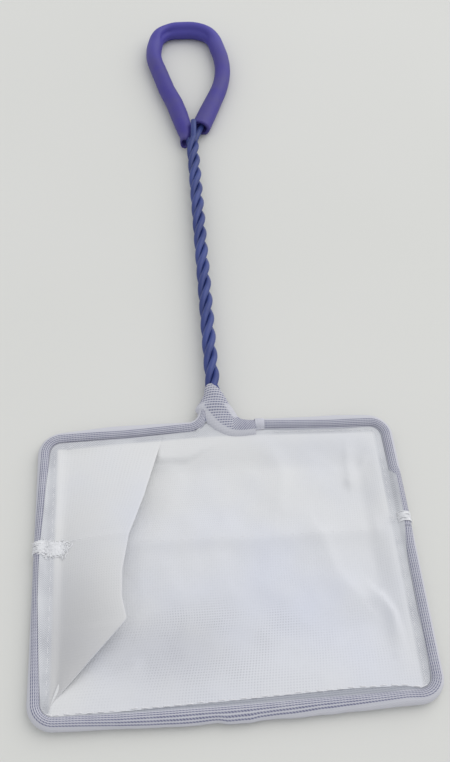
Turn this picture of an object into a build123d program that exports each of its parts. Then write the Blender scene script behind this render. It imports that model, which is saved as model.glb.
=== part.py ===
from build123d import *
import math
import os

# An aquarium fish net. One coated wire makes the hoop, a stem of three twisted strands
# and a hanging loop. A tape sewn round the hoop holds the mesh bag.
# Lengths are in millimetres. +Y runs along the stem from the hoop to the loop, +Z is up,
# and the origin is under the middle of the part, on the surface that it lies on.

# Wire
WIRE_DIAMETER = 3.1
CORE_DIAMETER = 2.0
STRAND_GAP = 0.1

# Stem
TWIST_PITCH = 33.2
TWIST_TURNS = 5
TAIL_LENGTH = 13.0
TAIL_CROSS_RISE = 8.0
TAIL_CROSS_RIGHT = 1.2
TAIL_END_RIGHT = 1.4
TAIL_HEIGHT = 0.4

# Hoop, on the centreline of its wire
HOOP_WIDTH = 150.0
HOOP_DEPTH = 120.0
HOOP_BOW = 2.5
JUNCTION_RISE = 20.5
LEG_LEAD = 2.5
LEAD_BEND_RADIUS = 6.0
LEG_BEND_RADIUS = 7.0
CORNER_INNER_RADIUS = 0.9

# Loop, on the centreline of its wire
LOOP_LENGTH = 105.0
LOOP_LEAD = 2.0
LOOP_FOOT_RISE = 5.0
LOOP_FOOT_SPLAY = 0.7
LEFT_LEG_ANGLE = 13.2
RIGHT_LEG_ANGLE = 21.2
LEFT_SHOULDER_DROP = 23.7
RIGHT_SHOULDER_DROP = 43.7
LOOP_TOP_LEFT = 14.5
LOOP_TOP_RIGHT = 17.0
BEND_SHARE = 0.45

# Grip tube on the loop
GRIP_DIAMETER = 9.2
GRIP_CLEARANCE = 0.3
GRIP_END_GAP = 0.4
GRIP_FOOT_GAP = 2.5

# Edging tape round the hoop, and the hem that its two leaves hold
TAPE_WALL = 0.95
TAPE_CLEARANCE = 0.1
LEAF_WIDTH = 3.6
LEAF_THICKNESS = 0.6
HEM_CLEARANCE = 0.05
HEM_SHOW = 0.5
HEM_TUCK = 0.6

# Collar of tape round the foot of the stem
COLLAR_LEFT = 11.5
COLLAR_RIGHT = 18.0
COLLAR_OVERLAP = 0.5
COLLAR_WALL = 0.75
COLLAR_BARREL = 6.0
COLLAR_BARREL_LEFT = 6.0
COLLAR_BARREL_RIGHT = 7.5
COLLAR_BARREL_DROP = 0.8
COLLAR_CLEARANCE = 0.1
STEM_CLEARANCE = 0.3
COLLAR_TAPE_GAP = 0.2

# Thread
STITCH_LENGTH = 2.4
STITCH_WIDTH = 0.5
STITCH_HEIGHT = 0.3
STITCH_PITCH = 4.0
STITCH_INSET = 2.2
TACK_LENGTH = 2.4
TACK_THICKNESS = 0.3
TACK_CLEARANCE = 0.05
TACK_FLOOR_GAP = 0.4

# Mesh bag, lying collapsed inside the hoop
MESH_THICKNESS = 0.4
BAG_GAP = 0.3
BAG_FLOOR_Z = 0.2
SEAM_BEYOND_MIDDLE = 8.0
FOLD_FROM_LEFT = 35.0
FOLD_HEIGHT = 4.4
FOLD_FOOT = 2.5
FOLD_TOP_FROM_LEFT = 52.0
FRONT_SLOPE = 35.0
BACK_SLOPE = 17.5
RIGHT_GUSSET = 8.0

# How finely the closest points of two strands are searched for, and within what turn
SEARCH_STEPS = 1000
SEARCH_TURN = 1.0
SEARCH_ROUNDS = 12

STRANDS = 3
UP = Vector(0, 0, 1)

wire_radius = WIRE_DIAMETER / 2
core_radius = CORE_DIAMETER / 2
grip_radius = GRIP_DIAMETER / 2
rim_bore = wire_radius + TAPE_CLEARANCE
rim_radius = rim_bore + TAPE_WALL
leaf_reach = rim_radius + LEAF_WIDTH
hem_reach = leaf_reach + HEM_SHOW
corner_radius = hem_reach + CORNER_INNER_RADIUS
slot_height = MESH_THICKNESS + 2 * HEM_CLEARANCE
leaf_top = slot_height / 2 + LEAF_THICKNESS


def closest_strands(radius):
    """The least distance between two neighbouring strands' centrelines."""
    lead = TWIST_PITCH / math.tau
    turns = [SEARCH_TURN * (step / SEARCH_STEPS - 0.5) for step in range(SEARCH_STEPS + 1)]
    across = [2 * radius * math.sin((math.tau / STRANDS + turn) / 2) for turn in turns]
    return min(math.hypot(a, lead * turn) for a, turn in zip(across, turns))


def find_twist_radius():
    """The helix radius at which neighbouring strands lie STRAND_GAP apart."""
    radius = WIRE_DIAMETER
    for _ in range(SEARCH_ROUNDS):
        radius *= (WIRE_DIAMETER + STRAND_GAP) / closest_strands(radius)
    return radius


twist_radius = find_twist_radius()
twist_slope = math.tau * twist_radius / TWIST_PITCH
twist_length = TWIST_PITCH * TWIST_TURNS
half_step = TWIST_PITCH / (2 * STRANDS)
stem_radius = twist_radius + wire_radius

# Places along Y, from the front of the hoop to the top of the loop
overall_length = (
    rim_radius + HOOP_DEPTH + JUNCTION_RISE + twist_length + LOOP_LENGTH + grip_radius
)
front_y = rim_radius - overall_length / 2
back_y = front_y + HOOP_DEPTH
bend_y = back_y + HOOP_BOW
twist_start = back_y + JUNCTION_RISE
twist_end = twist_start + twist_length
loop_top = twist_end + LOOP_LENGTH
seam_y = (front_y + back_y) / 2 + SEAM_BEYOND_MIDDLE

# Heights: the tape and the grip tube lie on the surface
hoop_z = rim_radius
loop_z = grip_radius
stem_z = loop_z - twist_radius * math.cos(math.tau / STRANDS)
side_x = HOOP_WIDTH / 2


def strand_point(strand, rise):
    """A point on a strand's centreline, at this rise above the start of the twist."""
    turn = math.tau * (rise / TWIST_PITCH + strand / STRANDS)
    x = twist_radius * math.sin(turn)
    return Vector(x, twist_start + rise, stem_z + twist_radius * math.cos(turn))


def strand_direction(strand, rise):
    turn = math.tau * (rise / TWIST_PITCH + strand / STRANDS)
    return Vector(twist_slope * math.cos(turn), 1, -twist_slope * math.sin(turn)).normalized()


def strand_path(strand, low, high):
    """A right-handed helix along +Y."""
    axis_point = Vector(0, twist_start + low, stem_z)
    out = strand_point(strand, low) - axis_point
    base = Plane(origin=axis_point, x_dir=out, z_dir=(0, 1, 0))
    return base.location * Helix(TWIST_PITCH, high - low, twist_radius)


def widest_bends(points):
    """At each inner point, the bend that takes up BEND_SHARE of its shorter run."""
    radii = []
    for before, here, after in zip(points, points[1:], points[2:]):
        first = here - before
        second = after - here
        half_turn = math.radians(first.get_angle(second)) / 2
        radii.append(BEND_SHARE * min(first.length, second.length) / math.tan(half_turn))
    return radii


def section_plane(path):
    """The plane across a path's start, with its x to the left of travel and y up."""
    return Plane(origin=path @ 0, x_dir=UP.cross(path % 0), z_dir=path % 0)


def rod(path, radius):
    return sweep(section_plane(path) * Circle(radius), path=path)


def pipe(path, radius, bore):
    return sweep(section_plane(path) * (Circle(radius) - Circle(bore)), path=path)


# The first strand lies on top at both ends of the stem. It turns left into the hoop, and at
# the loop it ends as a short tail. The second strand turns right into the hoop, half a step
# further up, and becomes the loop's right leg. The third ends in the collar, and becomes the
# left leg.
hoop_left_start = strand_point(0, 0)
hoop_right_start = strand_point(1, half_step)
hoop_left_lead = hoop_left_start - strand_direction(0, 0) * LEG_LEAD
hoop_right_lead = hoop_right_start - strand_direction(1, half_step) * LEG_LEAD


def leg_bend(side, start):
    """Where a leg that keeps its way off the twist comes to the back of the hoop."""
    return Vector(side * (start.Y - bend_y) * twist_slope, bend_y, hoop_z)


hoop_left_bend = leg_bend(-1, hoop_left_start)
hoop_right_bend = leg_bend(1, hoop_right_start)
back_left = Vector(-side_x, back_y, hoop_z)
front_left = Vector(-side_x, front_y, hoop_z)
front_right = Vector(side_x, front_y, hoop_z)
back_right = Vector(side_x, back_y, hoop_z)


def hoop_path():
    """From the stem round the left side, the front and the right side to the stem again."""
    points = [hoop_left_start, hoop_left_lead, hoop_left_bend, back_left, front_left]
    points += [front_right, back_right, hoop_right_bend, hoop_right_lead, hoop_right_start]
    bends = [LEAD_BEND_RADIUS, LEG_BEND_RADIUS] + 4 * [corner_radius]
    return FilletPolyline(*points, radius=bends + bends[1::-1])


def tail_path():
    """The end of the first strand, over the grip tube's two ends."""
    start = strand_point(0, twist_length)
    tail_z = loop_z + grip_radius + TAIL_HEIGHT
    points = [
        start,
        start + strand_direction(0, twist_length) * LOOP_LEAD,
        Vector(TAIL_CROSS_RIGHT, twist_end + TAIL_CROSS_RISE, tail_z),
        Vector(TAIL_END_RIGHT, twist_end + TAIL_LENGTH, tail_z),
    ]
    return FilletPolyline(*points, radius=widest_bends(points))


loop_left_start = strand_point(2, twist_length)
loop_right_start = strand_point(1, twist_length)
left_slope = math.tan(math.radians(LEFT_LEG_ANGLE))
right_slope = math.tan(math.radians(RIGHT_LEG_ANGLE))
foot_y = twist_end + LOOP_FOOT_RISE
foot_x = loop_right_start.X + LOOP_FOOT_SPLAY


def left_leg(y):
    return Vector(-foot_x - left_slope * (y - foot_y), y, loop_z)


def right_leg(y):
    return Vector(foot_x + right_slope * (y - foot_y), y, loop_z)


loop_points = [
    loop_left_start,
    loop_left_start + strand_direction(2, twist_length) * LOOP_LEAD,
    left_leg(foot_y),
    left_leg(loop_top - LEFT_SHOULDER_DROP),
    Vector(-LOOP_TOP_LEFT, loop_top, loop_z),
    Vector(LOOP_TOP_RIGHT, loop_top, loop_z),
    right_leg(loop_top - RIGHT_SHOULDER_DROP),
    right_leg(foot_y),
    loop_right_start + strand_direction(1, twist_length) * LOOP_LEAD,
    loop_right_start,
]
loop_bends = widest_bends(loop_points)


def legs_apart_at(distance):
    """The y where the loop's two legs lie this far apart, above the bends at their feet."""
    apart_y = foot_y + (distance - 2 * foot_x) / (left_slope + right_slope)
    return max(apart_y, foot_y + GRIP_FOOT_GAP)


def grip_path():
    """The part of the loop that the grip tube covers."""
    left_end = left_leg(legs_apart_at(grip_radius + wire_radius + GRIP_END_GAP))
    right_end = right_leg(legs_apart_at(2 * grip_radius + GRIP_END_GAP))
    points = [left_end] + loop_points[3:7] + [right_end]
    return FilletPolyline(*points, radius=loop_bends[2:6])


# Tape paths run anticlockwise seen from above, so the inside of the hoop is on their left.
seam_left = Vector(-side_x, seam_y, hoop_z)
seam_right = Vector(side_x, seam_y, hoop_z)


def on_back(bend, corner, x):
    """The point of a back run at this x."""
    return bend + (corner - bend) * ((x - bend.X) / (corner.X - bend.X))


left_tape_end = on_back(hoop_left_bend, back_left, -COLLAR_LEFT - COLLAR_TAPE_GAP)
right_tape_end = on_back(hoop_right_bend, back_right, COLLAR_RIGHT + COLLAR_TAPE_GAP)
front_corners = [seam_left, front_left, front_right, seam_right]
tape_paths = {
    "front": FilletPolyline(*front_corners, radius=corner_radius),
    "back_left": FilletPolyline(left_tape_end, back_left, seam_left, radius=corner_radius),
    "back_right": FilletPolyline(seam_right, back_right, right_tape_end, radius=corner_radius),
}


def rectangle_between(low_x, high_x, height):
    """A rectangle centred on the x axis."""
    return Pos((low_x + high_x) / 2, 0) * Rectangle(high_x - low_x, height)


def tape(path):
    """Tape folded round the wire, with its two leaves side by side inside the hoop."""
    section = Circle(rim_radius) + rectangle_between(0, leaf_reach, 2 * leaf_top)
    section -= Circle(rim_bore)
    section -= rectangle_between(0, leaf_reach + HEM_SHOW, slot_height)
    return sweep(section_plane(path) * section, path=path)


def hem(path):
    """The edge of the mesh, between the leaves of the tape."""
    strip = rectangle_between(rim_radius - HEM_TUCK, hem_reach, MESH_THICKNESS)
    return sweep(section_plane(path) * strip, path=path)


def stitch(place, direction, across):
    """One stitch: a bar that starts on the plane through place, across the given normal."""
    seat = Plane(origin=place, x_dir=direction, z_dir=across)
    bar = Box(
        STITCH_LENGTH, STITCH_WIDTH, STITCH_HEIGHT, align=(Align.CENTER, Align.CENTER, Align.MIN)
    )
    return seat.location * bar


def hem_stitches(path):
    """A row of stitches on the upper leaf of a tape."""
    ends = TACK_LENGTH + TACK_CLEARANCE
    run = path.length - 2 * ends
    count = int(run / STITCH_PITCH)
    row = []
    for index in range(count):
        where = (ends + run * (index + 0.5) / count) / path.length
        travel = path % where
        place = path @ where + UP.cross(travel) * (rim_radius + STITCH_INSET) + UP * leaf_top
        row.append(stitch(place, travel, UP))
    return Compound(children=row)


def bar_tack(path, distance):
    """Thread wound over the tape, and across its upper leaf, at a distance along a path."""
    where = distance / path.length
    travel = path % where
    base = Plane(origin=path @ where, x_dir=UP.cross(travel), z_dir=travel)
    inner = rim_radius + TACK_CLEARANCE
    outer = inner + TACK_THICKNESS
    ring = Circle(outer) - Circle(inner)
    keep_height = outer + hoop_z - TACK_FLOOR_GAP
    ring &= Pos(0, outer - keep_height / 2) * Rectangle(2 * outer, keep_height)
    leaf_gap = leaf_top + TACK_CLEARANCE
    ring -= Pos(outer / 2, (leaf_gap - outer) / 2) * Rectangle(outer, outer + leaf_gap)
    bar_x = math.sqrt(inner**2 - leaf_gap**2)
    bar = Pos((bar_x + leaf_reach) / 2, leaf_gap + TACK_THICKNESS / 2)
    ring += bar * Rectangle(leaf_reach - bar_x, TACK_THICKNESS)
    ring -= Circle(inner)
    return base.location * extrude(ring, TACK_LENGTH / 2, both=True)


def collar():
    """Tape wound round the foot of the stem and the two legs of the hoop."""
    bore_radius = stem_radius + STEM_CLEARANCE
    top_radius = bore_radius + COLLAR_WALL
    top_y = twist_start + COLLAR_OVERLAP
    middle_x = (COLLAR_RIGHT - COLLAR_LEFT) / 2
    width = COLLAR_LEFT + COLLAR_RIGHT

    def slice_at(y):
        return Plane(origin=(0, y, 0), x_dir=(1, 0, 0), z_dir=(0, -1, 0))

    foot = Pos(middle_x, hoop_z) * SlotOverall(width, 2 * rim_radius)
    top = Pos(0, stem_z) * SlotOverall(2 * top_radius + STRAND_GAP, 2 * top_radius)
    barrel_width = COLLAR_BARREL_LEFT + COLLAR_BARREL_RIGHT
    barrel_x = (COLLAR_BARREL_RIGHT - COLLAR_BARREL_LEFT) / 2
    barrel = Pos(barrel_x, stem_z - COLLAR_BARREL_DROP) * SlotOverall(barrel_width, 2 * top_radius)
    body = loft(
        [
            slice_at(bend_y - rim_radius) * foot,
            slice_at(bend_y + wire_radius) * foot,
            slice_at(twist_start - COLLAR_BARREL) * barrel,
            slice_at(top_y) * top,
        ],
        ruled=True,
    )
    leaf_low = back_y - leaf_reach + HOOP_BOW
    leaf = Pos(middle_x, (leaf_low + bend_y) / 2, hoop_z)
    body += leaf * Box(width, bend_y - leaf_low, 2 * leaf_top)

    bore_low = twist_start - LEG_LEAD
    bore = slice_at(top_y) * (Pos(0, stem_z) * Circle(bore_radius))
    body -= extrude(bore, top_y - bore_low)
    tunnel = wire_radius + COLLAR_CLEARANCE
    for points in (
        [hoop_left_start, hoop_left_lead, hoop_left_bend, back_left],
        [hoop_right_start, hoop_right_lead, hoop_right_bend, back_right],
    ):
        path = FilletPolyline(*points, radius=[LEAD_BEND_RADIUS, LEG_BEND_RADIUS])
        body -= rod(path, tunnel)
    return body


# The bag's outline inside the hem, and the heights of its border, floor and fold
border_gap = hem_reach + BAG_GAP
border_x = side_x - border_gap
border_front = front_y + border_gap
border_z = hoop_z - MESH_THICKNESS / 2
floor_front = border_front + FRONT_SLOPE
floor_right = border_x - RIGHT_GUSSET
fold_x = FOLD_FROM_LEFT - side_x
fold_top_x = FOLD_TOP_FROM_LEFT - side_x
floor_back = back_y - border_gap - BACK_SLOPE


def border_back(bend, corner, x):
    """A point of the border inside a back run of the hoop."""
    return Vector(x, on_back(bend, corner, x).Y - border_gap, border_z)


seam_border_left = Vector(-border_x, seam_y, border_z)
seam_border_right = Vector(border_x, seam_y, border_z)
fold_seam = Vector(fold_x, seam_y, FOLD_HEIGHT)
fold_seam_foot = Vector(fold_x + FOLD_FOOT, seam_y, BAG_FLOOR_Z)
floor_seam_right = Vector(floor_right, seam_y, BAG_FLOOR_Z)


def mesh_panel(facets):
    """A panel of mesh from flat facets that meet along vertical cuts."""
    panel = Part()
    for points in facets:
        outline = Wire.make_polygon(points, close=True)
        panel += extrude(Face(outline), MESH_THICKNESS, dir=UP)
    return panel


def front_panel():
    border_left = Vector(-border_x, border_front, border_z)
    border_right = Vector(border_x, border_front, border_z)
    fold = Vector(fold_x, floor_front, FOLD_HEIGHT)
    fold_foot = Vector(fold_x + FOLD_FOOT, floor_front, BAG_FLOOR_Z)
    floor_corner = Vector(floor_right, floor_front, BAG_FLOOR_Z)
    return mesh_panel([
        [border_left, fold, fold_seam, seam_border_left],
        [border_left, fold_foot, fold],
        [fold, fold_foot, fold_seam_foot, fold_seam],
        [border_left, border_right, floor_corner, fold_foot],
        [border_right, seam_border_right, floor_seam_right, floor_corner],
        [fold_foot, floor_corner, floor_seam_right, fold_seam_foot],
    ])


def back_panel():
    corner_left = border_back(hoop_left_bend, back_left, -border_x)
    corner_right = border_back(hoop_right_bend, back_right, border_x)
    fold_top = border_back(hoop_left_bend, back_left, fold_top_x)
    at_collar = border_back(hoop_right_bend, back_right, hoop_right_bend.X)
    floor_corner = Vector(floor_right, floor_back, BAG_FLOOR_Z)
    return mesh_panel([
        [seam_border_left, fold_seam, corner_left],
        [fold_seam, fold_top, corner_left],
        [fold_seam, fold_seam_foot, fold_top],
        [fold_seam_foot, floor_seam_right, floor_corner],
        [fold_seam_foot, floor_corner, fold_top],
        [fold_top, floor_corner, at_collar],
        [at_collar, floor_corner, corner_right],
        [seam_border_right, corner_right, floor_corner, floor_seam_right],
    ])


def seam_stitches(start, end):
    """Stitches along a seam between two points under the mesh, on its upper side."""
    line = end - start
    direction = line.normalized()
    across = direction.cross(Vector(0, 1, 0))
    count = int(line.length / STITCH_PITCH)
    row = []
    for index in range(count):
        place = start + line * ((index + 0.5) / count) + UP * MESH_THICKNESS
        row.append(stitch(place, direction, across))
    return Compound(children=row)


wires = {
    "hoop_wire": hoop_path(),
    "stem_strand_1": strand_path(0, 0, twist_length),
    "stem_strand_2": strand_path(1, half_step, twist_length),
    "stem_strand_3": strand_path(2, 0, twist_length),
    "loop_wire": FilletPolyline(*loop_points, radius=loop_bends),
    "tail_wire": tail_path(),
}

nodes = {}
for name, path in wires.items():
    nodes[name + "_core"] = rod(path, core_radius)
    nodes[name + "_coating"] = pipe(path, wire_radius, core_radius)
nodes["grip_tube"] = pipe(grip_path(), grip_radius, wire_radius + GRIP_CLEARANCE)
for name, path in tape_paths.items():
    nodes["rim_tape_" + name] = tape(path)
    nodes["mesh_hem_" + name] = hem(path)
    nodes["hem_stitching_" + name] = hem_stitches(path)
nodes["collar_wrap"] = collar()
nodes["bar_tack_left"] = bar_tack(tape_paths["front"], TACK_LENGTH / 2)
nodes["bar_tack_right"] = bar_tack(tape_paths["back_right"], TACK_LENGTH / 2)
collar_end = tape_paths["back_right"]
nodes["bar_tack_collar"] = bar_tack(collar_end, collar_end.length - TACK_LENGTH / 2)
nodes["net_front_panel"] = front_panel()
nodes["net_back_panel"] = back_panel()
nodes["left_seam_thread"] = seam_stitches(seam_border_left, fold_seam)
nodes["bottom_seam_thread"] = seam_stitches(fold_seam_foot, floor_seam_right)
nodes["right_seam_thread"] = seam_stitches(floor_seam_right, seam_border_right)

os.makedirs("parts", exist_ok=True)
for name, shape in nodes.items():
    export_step(shape, f"parts/{name}.step")
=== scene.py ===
import math
import random
from collections import namedtuple

import bpy
import numpy as np
from mathutils import Matrix, Vector, noise


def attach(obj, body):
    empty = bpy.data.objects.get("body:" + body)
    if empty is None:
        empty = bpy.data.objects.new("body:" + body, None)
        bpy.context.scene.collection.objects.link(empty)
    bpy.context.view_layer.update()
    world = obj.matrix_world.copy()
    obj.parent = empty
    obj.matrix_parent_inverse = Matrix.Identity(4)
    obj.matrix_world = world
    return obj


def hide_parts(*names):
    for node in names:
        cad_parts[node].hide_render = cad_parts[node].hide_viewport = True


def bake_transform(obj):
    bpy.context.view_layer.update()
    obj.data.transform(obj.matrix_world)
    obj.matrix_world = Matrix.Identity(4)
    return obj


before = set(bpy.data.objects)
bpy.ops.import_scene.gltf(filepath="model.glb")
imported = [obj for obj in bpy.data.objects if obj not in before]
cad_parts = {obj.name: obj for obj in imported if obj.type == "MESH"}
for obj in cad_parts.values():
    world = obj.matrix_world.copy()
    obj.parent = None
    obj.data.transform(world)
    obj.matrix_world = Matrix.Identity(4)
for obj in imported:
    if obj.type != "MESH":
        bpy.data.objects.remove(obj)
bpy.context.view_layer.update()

# Lengths are in millimetres until a mesh is made. The layout repeats the CAD part's values.
MM = 0.001
UP = np.array([0.0, 0.0, 1.0])
RIM_RADIUS = 2.6
LEAF_REACH = 6.2
LEAF_TOP = 0.85
SLOT = 0.25
SLOT_DEPTH = 2.0
SIDE_X = 75.0
HALF_DEPTH = 60.0
HOOP_BOW = 2.5
LEFT_BEND_X = -6.4
RIGHT_BEND_X = 8.37
HOOP_Z = RIM_RADIUS
HOOP_Y = -146.75
SEAM_Y = 8.0
CORNER_RADIUS = 7.6
COLLAR_RIGHT = 18.2
STEM_Z = 5.54
GRIP_RADIUS = 4.6
LOOP_Z = GRIP_RADIUS
TABLE_CLEAR = 0.02
SEED = 7

draw = random.Random(SEED)

Ripple = namedtuple("Ripple", "rise size seed")
Crease = namedtuple("Crease", "path rise left right")
Spot = namedtuple("Spot", "x y half_x half_y")
Span = namedtuple("Span", "start end run_in run_out")


def smooth(t):
    t = np.clip(t, 0.0, 1.0)
    return t * t * (3 - 2 * t)


def ramp(value, start, run):
    """0 up to the start, rising to 1 over a run."""
    return smooth((value - start) / run)


def fade(value, end, run):
    """1 at first, falling over a run to 0 at the end."""
    return smooth((end - value) / run)


def window(value, span):
    """0 outside a span, and 1 between the runs at its ends."""
    return ramp(value, span.start, span.run_in) * fade(value, span.end, span.run_out)


def hump(value, middle, half):
    """1 at the middle, fading out on both sides."""
    return math.exp(-(((value - middle) / half) ** 2))


def wander(x, y, ripple):
    """Smooth noise as high and as low as the ripple's rise."""
    return ripple.rise * noise.noise(Vector((x / ripple.size, y / ripple.size, ripple.seed)))


# Materials: noise and bumps are in metres, lines in millimetres

class Graph:
    """A material and short ways to add nodes to it."""

    def __init__(self, name):
        self.material = bpy.data.materials.new(name)
        self.material.use_nodes = True
        self.tree = self.material.node_tree
        self.shader = self.tree.nodes["Principled BSDF"]

    def put(self, socket, value):
        if isinstance(value, bpy.types.NodeSocket):
            self.tree.links.new(value, socket)
        else:
            socket.default_value = value

    def add(self, kind, inputs=(), **settings):
        node = self.tree.nodes.new("ShaderNode" + kind)
        for key, value in settings.items():
            setattr(node, key, value)
        for key, value in dict(inputs).items():
            self.put(node.inputs[key], value)
        return node

    def math(self, operation, a, b=0.0, c=0.0):
        return self.add("Math", {0: a, 1: b, 2: c}, operation=operation).outputs[0]

    def times(self, a, b):
        return self.math("MULTIPLY", a, b)

    def minus(self, a, b):
        return self.math("SUBTRACT", a, b)

    def scale(self, value, by, plus=0.0):
        return self.math("MULTIPLY_ADD", value, by, plus)

    def step(self, value, low, high):
        """0 below low, 1 above high, smooth between."""
        node = self.add("MapRange", {"Value": value, "From Min": low, "From Max": high})
        node.interpolation_type = "SMOOTHSTEP"
        return node.outputs["Result"]

    def mix(self, factor, a, b):
        node = self.add("Mix", data_type="RGBA")
        self.put(node.inputs[0], factor)
        self.put(node.inputs[6], a)
        self.put(node.inputs[7], b)
        return node.outputs[2]

    def value(self, name):
        return self.add("Attribute", attribute_name=name).outputs["Fac"]

    def noise(self, scale, detail=2.0):
        place = self.add("TexCoord").outputs["Object"]
        return self.add("TexNoise", {"Vector": place, "Scale": scale, "Detail": detail}).outputs["Fac"]

    def wave(self, value, pitch):
        """0 in the middle of each pitch, rising to half a pitch at its ends."""
        phase = self.math("FRACT", self.math("DIVIDE", value, pitch))
        off = self.math("ABSOLUTE", self.minus(phase, 0.5))
        return self.times(off, pitch)

    def line(self, value, pitch, width, soft):
        """1 on lines of this width, one in each pitch, and 0 between them."""
        off = self.wave(value, pitch)
        return self.minus(1.0, self.step(off, width / 2 - soft, width / 2 + soft))

    def bump(self, height, distance, strength=1.0):
        node = self.add("Bump", {"Height": height, "Distance": distance, "Strength": strength})
        self.put(self.shader.inputs["Normal"], node.outputs["Normal"])

    def set(self, **inputs):
        for key, value in inputs.items():
            self.put(self.shader.inputs[key.replace("_", " ")], value)
        return self.material


GRAIN_DEPTH = 0.00002
GRAIN_ROUGH = 0.16
STEEL_DARK = (0.42, 0.42, 0.41, 1)
STEEL_LIGHT = (0.62, 0.62, 0.6, 1)


def plastic(name, dark, light, lit_top, roughness, specular):
    """Soft satin PVC: its colour wanders a little, and is painted lighter where a piece carries painted
    light on its top.
    """
    g = Graph(name)
    cloud = g.noise(scale=90.0)
    grain = g.noise(scale=2600.0)
    colour = g.mix(g.step(cloud, low=0.3, high=0.7), dark, light)
    # Painted light: a lighter, bluer band along the grip's top bar
    colour = g.mix(g.value("lit_top"), colour, lit_top)
    g.bump(grain, distance=GRAIN_DEPTH)
    rough = g.scale(grain, by=GRAIN_ROUGH, plus=roughness - GRAIN_ROUGH / 2)
    return g.set(Base_Color=colour, Roughness=rough, Specular_IOR_Level=specular)


def steel():
    g = Graph("drawn_steel")
    streak = g.noise(scale=900.0, detail=4.0)
    colour = g.mix(streak, STEEL_DARK, STEEL_LIGHT)
    g.bump(streak, distance=GRAIN_DEPTH)
    rough = g.scale(streak, by=0.2, plus=0.25)
    return g.set(Base_Color=colour, Roughness=rough, Metallic=1.0)


TAPE_PITCH = 0.8
PALE_TAPE = (0.61, 0.615, 0.665, 1)
SHADE_TAPE = (0.44, 0.445, 0.50, 1)
DARK_TAPE = (0.12, 0.125, 0.225, 1)
LEAF_TAPE = (0.45, 0.47, 0.505, 1)
WEAVE_DEPTH = 0.00006


def tape_cloth():
    """Ribbed tape: fine blue-grey lines between pale ribs, each rib a twisted yarn."""
    g = Graph("ribbed_tape")
    across = g.value("across")
    along = g.value("along")
    ribs = g.line(across, pitch=TAPE_PITCH, width=0.45, soft=0.16)
    slant = g.scale(along, by=0.85, plus=g.scale(across, by=1.3))
    twist = g.line(slant, pitch=1.0, width=0.55, soft=0.25)
    worn = g.noise(scale=260.0, detail=3.0)
    pale = g.mix(g.value("leaf"), PALE_TAPE, LEAF_TAPE)
    pale = g.mix(g.scale(twist, by=0.3), pale, SHADE_TAPE)
    strength = g.times(g.value("striped"), g.scale(worn, by=0.7, plus=0.75))
    strength = g.times(strength, g.scale(twist, by=-0.7, plus=1.08))
    colour = g.mix(g.times(strength, ribs), pale, DARK_TAPE)
    height = g.minus(g.scale(twist, by=-0.5), ribs)
    g.bump(height, distance=WEAVE_DEPTH, strength=0.7)
    return g.set(Base_Color=colour, Roughness=0.88, Sheen_Weight=0.08)


def thread_yarn(name, dark, light):
    g = Graph(name)
    fibre = g.noise(scale=3800.0)
    colour = g.mix(fibre, dark, light)
    g.bump(fibre, distance=0.00008)
    return g.set(Base_Color=colour, Roughness=0.8, Sheen_Weight=0.1)


WEAVE_PITCH = 1.05
THREAD_WIDTH = 0.62
THREAD_SOFT = 0.18
COOL_MESH = (0.66, 0.685, 0.775, 1)
WARM_MESH = (0.725, 0.73, 0.735, 1)
MESH_GAP = (0.52, 0.53, 0.60, 1)
PAINTED_SHADE_MESH = (0.47, 0.47, 0.48, 1)
HEM_MESH = (0.68, 0.695, 0.72, 1)
HEM_GAP = (0.38, 0.39, 0.44, 1)


def net_mesh():
    """Fine white mesh: two sets of threads with small holes, and a denser zigzag along its hem."""
    g = Graph("fine_mesh")
    warp_at = g.value("warp")
    weft_at = g.value("weft")
    hem = g.value("hem")
    warp = g.line(warp_at, WEAVE_PITCH, THREAD_WIDTH, THREAD_SOFT)
    weft = g.line(weft_at, WEAVE_PITCH, THREAD_WIDTH, THREAD_SOFT)
    threads = g.math("MAXIMUM", warp, weft)
    patchy = g.step(g.noise(scale=70.0), low=0.3, high=0.7)
    open_weave = g.times(g.value("open"), g.scale(patchy, by=0.75, plus=0.25))
    holes = g.times(g.minus(1.0, threads), open_weave)
    cloud = g.step(g.noise(scale=26.0), low=0.36, high=0.74)
    cool = g.scale(cloud, by=0.35, plus=g.value("cool"))
    tint = g.mix(cool, WARM_MESH, COOL_MESH)
    # Painted shade: grey on the flap, which faces away from the light, and a painted shadow on the floor
    # beside the fold's lower end
    tint = g.mix(g.value("painted_shade"), tint, PAINTED_SHADE_MESH)
    plain = g.mix(g.scale(holes, by=0.5), tint, MESH_GAP)
    zig = g.scale(g.wave(warp_at, pitch=2.2), by=1.4, plus=weft_at)
    zigzag = g.line(zig, pitch=0.9, width=0.45, soft=THREAD_SOFT)
    zigzag = g.times(zigzag, g.scale(patchy, by=0.6, plus=0.4))
    doubled = g.mix(zigzag, HEM_MESH, HEM_GAP)
    colour = g.mix(hem, plain, doubled)
    height = g.minus(threads, g.scale(g.times(zigzag, hem), by=2.0))
    g.bump(height, distance=WEAVE_DEPTH, strength=0.5)
    see_through = g.times(holes, g.minus(1.0, hem))
    alpha = g.scale(see_through, by=-0.35, plus=1.0)
    return g.set(Base_Color=colour, Roughness=0.82, Sheen_Weight=0.1, Alpha=alpha)


TABLE_DARK = (0.675, 0.68, 0.65, 1)
TABLE_LIGHT = (0.72, 0.72, 0.70, 1)


def table_top():
    g = Graph("pale_table")
    colour = g.mix(g.noise(scale=5.0), TABLE_DARK, TABLE_LIGHT)
    return g.set(Base_Color=colour, Roughness=0.75, Specular_IOR_Level=0.2)


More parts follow.
